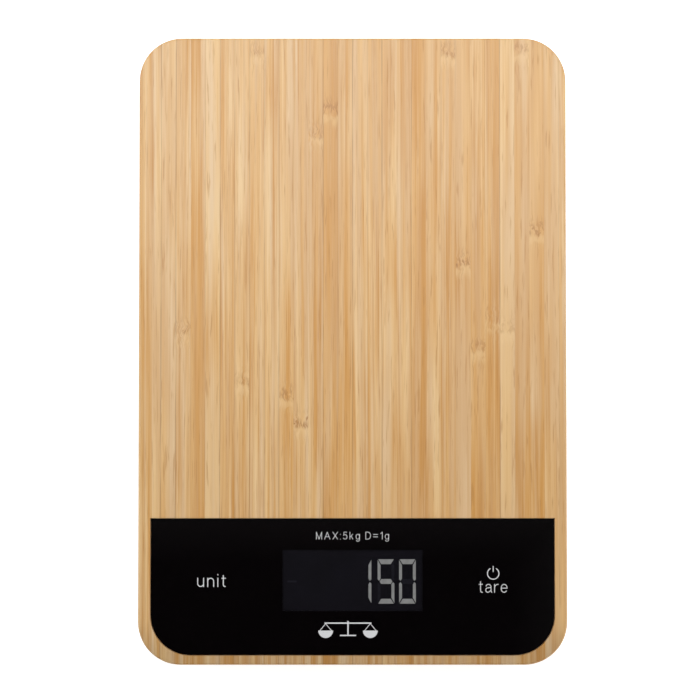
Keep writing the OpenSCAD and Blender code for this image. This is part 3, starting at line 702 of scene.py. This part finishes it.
# The width of each letter and the paths of its strokes
LETTERS = {
    "u": (0.72, [[(0, 1), *bend(0.36, 0.36, 0.36, 0.36, 180, 350)], [(0.72, 1), (0.72, 0)]]),
    "n": (0.72, [[*bend(0.36, 0.64, 0.36, 0.36, 170, 0), (0.72, 0)], [(0, 0), (0, 1)]]),
    "i": (0.0, [[(0, 0), (0, 1)], [(0, TALL), (0, 1.45)]]),
    "t": (0.44, [[(0.16, 1.32), *bend(0.36, 0.2, 0.2, 0.2, 180, 275, 6)], [(0, 1), (0.4, 1)]]),
    "a": (0.76, [[*bend(0.35, 0.68, 0.32, 0.32, 160, 0), (0.67, 0.15), (0.76, 0)],
                 [(0.67, 0.6), *bend(0.28, 0.28, 0.27, 0.28, 90, 290), (0.67, 0.25)]]),
    "r": (0.46, [[(0, 0), (0, 1)], bend(0.42, 0.52, 0.42, 0.48, 170, 85)]),
    "e": (0.76, [[(0, 0.52), (0.76, 0.52)], bend(0.38, 0.5, 0.38, 0.5, 5, 318, 24)]),
    "k": (0.66, [[(0, 0), (0, TALL)], [(0.58, 1), (0.04, 0.42)], [(0.24, 0.64), (0.62, 0)]]),
    "g": (0.72, [bend(0.36, 0.5, 0.36, 0.5, 0, 360, 24),
                 [(0.72, 1), *bend(0.36, -0.06, 0.36, 0.36, 0, -150)]]),
    "M": (1.08, [[(0, 0), (0, TALL)], [(0, TALL), (0.54, 0)],
                 [(0.54, 0), (1.08, TALL)], [(1.08, TALL), (1.08, 0)]]),
    "A": (1.1, [[(0, 0), (0.55, TALL)], [(0.55, TALL), (1.1, 0)], [(0.2, 0.5), (0.9, 0.5)]]),
    "X": (0.96, [[(0, 0), (0.96, TALL)], [(0, TALL), (0.96, 0)]]),
    "D": (0.98, [[(0, 0), (0, TALL), (0.4, TALL), *bend(0.4, 0.71, 0.58, 0.71, 80, -80), (0.4, 0), (0, 0)]]),
    "5": (0.76, [[(0.7, TALL), (0.14, TALL), (0.07, 0.76)], bend(0.36, 0.46, 0.4, 0.46, 135, -150, 20)]),
    "1": (0.36, [[(0.04, 1.12), (0.36, TALL)], [(0.36, TALL), (0.36, 0)]]),
    ":": (0.0, [[(0, 0), (0, 0.02)], [(0, 0.96), (0, 0.98)]]),
    "=": (0.86, [[(0, 0.46), (0.86, 0.46)], [(0, 0.96), (0.86, 0.96)]]),
    " ": (0.1, []),
}


def ribbon(path, width):
    """The outlines of a stroke of that width along a path.

    It runs on by half of the width at both ends, or is a ring if the path ends where it starts.
    """
    points = [Vector(point) for point in path]
    ways = [(after - before).normalized() for before, after in zip(points, points[1:])]
    ring = (points[0] - points[-1]).length < width / 100
    if ring:
        ways.insert(0, ways[-1])
        points.pop()
    else:
        ways = [ways[0], *ways, ways[-1]]
        points[0] -= ways[0] * width / 2
        points[-1] += ways[-1] * width / 2
    left, right = [], []
    for point, before, after in zip(points, ways, ways[1:]):
        side = Vector((-before.y - after.y, before.x + after.x)).normalized()
        reach = width / 2 / max(side.dot(Vector((-after.y, after.x))), 0.5)
        left.append(tuple(point + side * reach))
        right.append(tuple(point - side * reach))
    return [left, right] if ring else [left + right[::-1]]


def symbol(name, shapes, x_mm=0.0, y_mm=0.0):
    """White ink under the acrylic. Each shape is outlines in millimetres about that point.

    Neighbours in the list end at different heights, so that strokes that cross don't share a face.
    """
    whole = bmesh.new()
    for k, outlines in enumerate(shapes):
        placed = [moved(outline, x_mm * MM, y_mm * MM) for outline in outlines]
        mesh = plates([placed], film_high.z + INK_T / 2, film_high.z + INK_T * (1.3 + 0.1 * (k % 4)))
        whole.from_mesh(mesh)
        bpy.data.meshes.remove(mesh)
    return piece(name, to_mesh(whole), LEGEND_INK)


def lettering(name, words, x_mm, baseline_mm, width_mm, height_mm, stroke_mm):
    """Plain letters, spaced out to that width about x. Height is that of the small letters."""
    size = height_mm - stroke_mm
    widths = [LETTERS[letter][0] * size + stroke_mm for letter in words]
    gap = (width_mm - sum(widths)) / (len(words) - 1)
    at = x_mm - width_mm / 2 + stroke_mm / 2
    shapes = []
    for letter, width in zip(words, widths):
        for path in LETTERS[letter][1]:
            placed = [(at + x * size, baseline_mm + stroke_mm / 2 + y * size) for x, y in path]
            shapes.append(ribbon(placed, stroke_mm))
        at += width + gap
    return symbol(name, shapes)


lettering("capacity_legend", "MAX:5kg D=1g", 0.0, -66.3, 25.5, 1.9, 0.18)
lettering("unit_legend", "unit", -49.3, -82.9, 10.1, 3.2, 0.33)
lettering("tare_legend", "tare", 49.2, -84.9, 10.0, 3.05, 0.27)
power = [ribbon(arc((0, 0), 2.0, 124, 416, 40), 0.32), ribbon([(0, 0.7), (0, 2.4)], 0.32)]
symbol("power_symbol", power, 49.2, -78.2)

# A plain pair of scales stands for the kind of tool
balance = [
    ribbon([(-8, 2.1), (8, 2.1)], 0.45),
    ribbon([(0, -2.0), (0, 2.6)], 0.5),
    ribbon([(-2.6, -2.2), (2.6, -2.2)], 0.45),
]
for side in (-7.8, 7.8):
    balance.append(ribbon([(side, 1.9), (side - 2.0, -0.5)], 0.24))
    balance.append(ribbon([(side, 1.9), (side + 2.0, -0.5)], 0.24))
    balance.append([arc((side, -0.5), 2.6, 180, 360, 24)])
symbol("balance_symbol", balance, -1.6, -97.6)


# ---- Load cells, whose beams, gauges and sealant ride on no body ----

CELL_MM, CELL_R_MM, WINDOW_MM, WINDOW_R_MM = 28.0, 5.0, 20.0, 3.0
BEAM_W_MM, BEAM_END_R_MM, HOLE_MM, HOLE_R_MM = 7.0, 4.5, 10.9, 1.0
GAUGE_Y_MM, BACKING_T_MM = 7.0, 0.15


def lofted(rings):
    """A solid through rings of as many points each."""
    whole = bmesh.new()
    loops = [[whole.verts.new(point) for point in ring] for ring in rings]
    for first, second in zip(loops, loops[1:]):
        for k in range(len(first)):
            after = (k + 1) % len(first)
            whole.faces.new((first[k], first[after], second[after], second[k]))
    whole.faces.new(loops[0])
    whole.faces.new(loops[-1])
    return whole


def beam_rings(low, high):
    """Cross-sections of the beam from root to round end, in millimetres about the foot, with z in metres."""
    neck = math.sqrt(BEAM_END_R_MM**2 - (BEAM_W_MM / 2) ** 2)
    root = WINDOW_MM / 2
    stations = [(root + (neck - root) * k / 16, BEAM_W_MM / 2) for k in range(16)]
    neck_angle = math.degrees(math.atan2(neck, BEAM_W_MM / 2))
    stations += [(y, x) for x, y in arc((0, 0), BEAM_END_R_MM, neck_angle, -86, 20)]
    return [[(-w, y, low), (w, y, low), (w, y, high), (-w, y, high)] for y, w in stations]


def dab_rings(low, high):
    """Cross-sections of the domed dab of sealant over the gauge."""
    outline = rounded_rectangle((0, 0), 3.4, 4.0, 1.2, 5)
    rings = []
    for k in range(7):
        turn = math.pi / 2 * k / 6.5
        shrink = math.cos(turn)
        z = low + (high - low) * math.sin(turn)
        rings.append([(x * shrink, GAUGE_Y_MM + y * shrink, z) for x, y in outline])
    return rings


for corner in CORNERS:
    pad_low, pad_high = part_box("foot_pad_" + corner)
    middle = (pad_low + pad_high) / 2
    outward = (1 if middle.x > 0 else -1, 1 if middle.y > 0 else -1)
    cell_low, cell_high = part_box("load_cell_" + corner)
    gauge_low, gauge_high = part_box("strain_gauge_" + corner)

    holes = [arc((x * HOLE_MM, y * HOLE_MM), HOLE_R_MM, 0, 345, 23) for x in (-1, 1) for y in (-1, 1)]
    outside = rounded_rectangle((0, 0), CELL_MM, CELL_MM, CELL_R_MM)
    window = rounded_rectangle((0, 0), WINDOW_MM, WINDOW_MM, WINDOW_R_MM)
    loops = [moved(loop, middle.x, middle.y) for loop in (outside, window, *holes)]
    rim_mesh = plates([loops], cell_low.z, cell_high.z)
    rim = piece("load_cell_rim_" + corner, rim_mesh, MATERIALS["load_cell_steel"])

    backing_top = gauge_low.z + BACKING_T_MM * MM
    backing = [[(x, GAUGE_Y_MM + y, z) for x, y in rounded_rectangle((0, 0), 4.4, 5.0, 0.2, 2)]
               for z in (gauge_low.z, backing_top)]
    for name, rings, slot in (
        ("load_cell_beam_", beam_rings(cell_low.z, cell_high.z), "load_cell_steel"),
        ("gauge_backing_", backing, "flex_circuit"),
        ("gauge_dab_", dab_rings(backing_top, gauge_high.z), "gauge_sealant"),
    ):
        whole = lofted(rings)
        for vertex in whole.verts:
            vertex.co.x = middle.x + outward[0] * vertex.co.x * MM
            vertex.co.y = middle.y + outward[1] * vertex.co.y * MM
        bending = piece(name + corner, to_mesh(whole), MATERIALS[slot], body=None)
        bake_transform(bending)
        if slot == "load_cell_steel":
            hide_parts("load_cell_" + corner)
        if slot == "gauge_sealant":
            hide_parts("strain_gauge_" + corner)


# ---- Foot pads, with rings moulded into their undersides ----


def turned(profile, middle, sides=96):
    """A solid of revolution about a vertical axis. The profile is (radius, z) from axis to axis."""
    whole = bmesh.new()
    first, *body, last = profile
    rings = []
    for radius, z in body:
        angles = [2 * math.pi * k / sides for k in range(sides)]
        rings.append([whole.verts.new((middle.x + radius * math.cos(a), middle.y + radius * math.sin(a), z))
                      for a in angles])
    ends = [whole.verts.new((middle.x, middle.y, z)) for _, z in (first, last)]
    for k in range(sides):
        after = (k + 1) % sides
        whole.faces.new((ends[0], rings[0][k], rings[0][after]))
        for inner, outer in zip(rings, rings[1:]):
            whole.faces.new((inner[k], outer[k], outer[after], inner[after]))
        whole.faces.new((ends[1], rings[-1][after], rings[-1][k]))
    mesh = to_mesh(whole)
    for face in mesh.polygons:
        face.use_smooth = True
    mesh.set_sharp_from_angle(angle=math.radians(35))
    return mesh


PAD_RINGS, RING_PITCH_MM, GROOVE_MM = 5, 1.55, 0.4

for corner in CORNERS:
    low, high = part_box("foot_pad_" + corner)
    radius = (high.x - low.x) / 2
    profile = [(0, low.z + GROOVE_MM * MM)]
    for k in range(PAD_RINGS):
        crest = radius - (0.75 + RING_PITCH_MM * (PAD_RINGS - 1 - k)) * MM
        for aside, up in ((-0.55, 1.0), (-0.45, 0.9), (-0.35, 0.15), (-0.2, 0.0), (0.2, 0.0), (0.35, 0.15),
                          (0.45, 0.9), (0.55, 1.0)):
            profile.append((crest + aside * MM, low.z + GROOVE_MM * up * MM))
    profile[-2:] = [(radius - 0.15 * MM, low.z + 0.25 * MM), (radius, low.z + 0.5 * MM)]
    profile += [(radius, high.z - 0.1 * MM), (radius - 0.1 * MM, high.z), (0, high.z)]
    pad_mesh = turned(profile, (low + high) / 2)
    pad = piece("ringed_pad_" + corner, pad_mesh, MATERIALS["foot_rubber"], "foot_" + corner)
    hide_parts("foot_pad_" + corner)


# ---- Marks on the battery door ----

MARK_T, MARK_ROOT = 0.00012, 0.00005  # how far the mark stands out of the door, and how deep it starts
door_low, door_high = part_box("battery_door")
plus = [(-0.4, 1.6), (-0.4, 0.4), (-1.6, 0.4), (-1.6, -0.4), (-0.4, -0.4), (-0.4, -1.6),
        (0.4, -1.6), (0.4, -0.4), (1.6, -0.4), (1.6, 0.4), (0.4, 0.4), (0.4, 1.6)]
plus_place = (0.0, (door_low.y + door_high.y) / 2 + 0.004)
mark_mesh = plates([[moved(plus, *plus_place)]], door_low.z - MARK_T, door_low.z + MARK_ROOT)
plus_mark = piece("battery_plus_mark", mark_mesh, MATERIALS["base_plastic"], body="battery_door")


# ---- Stage, light and camera ----


def stage():
    """A plain white light table, which can't be seen from underneath."""
    mesh = bpy.data.meshes.new("floor")
    reach, level = 3.0, -0.0001
    corners = [(-reach, -reach, level), (reach, -reach, level), (reach, reach, level), (-reach, reach, level)]
    mesh.from_pydata(corners, [], [(0, 1, 2, 3)])
    g = Graph("floor")
    surface = g.add("ShaderNodeBsdfPrincipled", {
        "Base Color": g.blend(g.noise(900), (0.80, 0.80, 0.80, 1), (0.82, 0.82, 0.82, 1)),
        "Roughness": 0.9,
        "Specular IOR Level": 0.1,
        "Emission Color": (1, 1, 1, 1),
        "Emission Strength": 0.76,
    }).outputs[0]
    below = g.add("ShaderNodeNewGeometry").outputs["Backfacing"]
    nothing = g.add("ShaderNodeBsdfTransparent").outputs[0]
    seen = g.add("ShaderNodeMixShader", {0: below, 1: surface, 2: nothing}).outputs[0]
    mesh.materials.append(g.finish(seen))
    floor = bpy.data.objects.new("floor", mesh)
    floor.visible_shadow = False
    scene.collection.objects.link(floor)
    floor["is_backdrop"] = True


def all_but(piece_name):
    """The lamps' list of what they light, without that piece. So the clear panel mirrors no lamp."""
    receivers = bpy.data.collections.new("lamp_receivers")
    receivers.objects.link(bpy.data.objects[piece_name])
    receivers.collection_objects[0].light_linking.link_state = "EXCLUDE"
    return receivers


def softbox(name, place, size, watts, receivers):
    """A rectangular lamp that faces the platform and doesn't show itself."""
    lamp = bpy.data.lights.new(name, "AREA")
    lamp.shape = "RECTANGLE"
    lamp.size, lamp.size_y = size
    lamp.energy = watts
    holder = bpy.data.objects.new(name, lamp)
    holder.location = place
    holder.rotation_euler = (Vector((0, 0, cad_high.z)) - Vector(place)).to_track_quat("-Z", "Y").to_euler()
    holder.visible_camera = False
    holder.light_linking.receiver_collection = receivers
    scene.collection.objects.link(holder)


DARK_PATCH = (-0.02, -0.1045, 0.9943)  # the direction of its middle
PATCH_REACH, PATCH_FADE = 0.0765, 0.14  # how far from there it is black, and where it has faded out


def surroundings():
    """A pale room with a dark patch overhead and a little in front, which the panel mirrors to the camera."""
    world = bpy.data.worlds.new("studio")
    world.use_nodes = True
    tree = world.node_tree

    def node(kind, operation=None, **inputs):
        made = tree.nodes.new("ShaderNode" + kind)
        if operation:
            made.operation = operation
        for name, value in inputs.items():
            if hasattr(value, "links"):
                tree.links.new(value, made.inputs[name])
            else:
                made.inputs[name].default_value = value
        return made

    direction = node("TexCoord").outputs["Generated"]
    height = node("SeparateXYZ", Vector=direction).outputs["Z"]
    ramp = node("ValToRGB", Fac=height)
    points = ramp.color_ramp.elements
    levels = ((0.0, 0.66), (0.2, 0.66), (0.6, 0.3), (0.94, 0.27))
    while len(points) < len(levels):
        points.new(1.0)
    for point, (place, level) in zip(points, levels):
        point.position = place
        point.color = (level, level, level, 1)

    # How far a direction is from the middle of the patch, which is square
    offset = node("VectorMath", "SUBTRACT", Vector=direction).outputs[0]
    offset.node.inputs[1].default_value = DARK_PATCH
    away = node("SeparateXYZ", Vector=node("VectorMath", "ABSOLUTE", Vector=offset).outputs[0]).outputs
    farthest = away["X"]
    for other in (away["Y"], away["Z"]):
        larger = node("Math", "MAXIMUM")
        tree.links.new(farthest, larger.inputs[0])
        tree.links.new(other, larger.inputs[1])
        farthest = larger.outputs[0]
    fade = {"Value": farthest, "From Min": PATCH_REACH, "From Max": PATCH_FADE}
    shade = node("MapRange", **fade).outputs["Result"]
    light = node("VectorMath", "SCALE", Vector=ramp.outputs["Color"], Scale=shade).outputs[0]
    tree.links.new(light, tree.nodes["Background"].inputs["Color"])
    scene.world = world


LENS_MM = 146.7
AIM_X = -0.0009
CAMERA_OFFSET = (0, -0.0459, 0.999)


def camera():
    """Nearly straight above, from the front, where a reader's eyes would be."""
    lens = bpy.data.cameras.new("camera")
    lens.sensor_width = 36
    lens.lens = LENS_MM
    holder = bpy.data.objects.new("camera", lens)
    aim = Vector((AIM_X, 0, cad_high.z))
    holder.location = aim + Vector(CAMERA_OFFSET)
    holder.rotation_euler = (aim - holder.location).to_track_quat("-Z", "Y").to_euler()
    scene.collection.objects.link(holder)
    scene.camera = holder


stage()
surroundings()
receivers = all_but("front_panel")
softbox("rear_softbox", (0, 0.18, 0.44), (0.6, 0.24), 1.6, receivers)
softbox("low_softbox", (0.6, -0.7, -0.4), (0.5, 0.5), 6.0, receivers)
softbox("left_softbox", (-1.1, 0.2, 0.9), (0.6, 0.8), 2.65, receivers)
softbox("right_softbox", (1.1, 0.2, 0.9), (0.6, 0.8), 2.65, receivers)
camera()
scene.view_settings.view_transform = "Standard"

low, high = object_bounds()
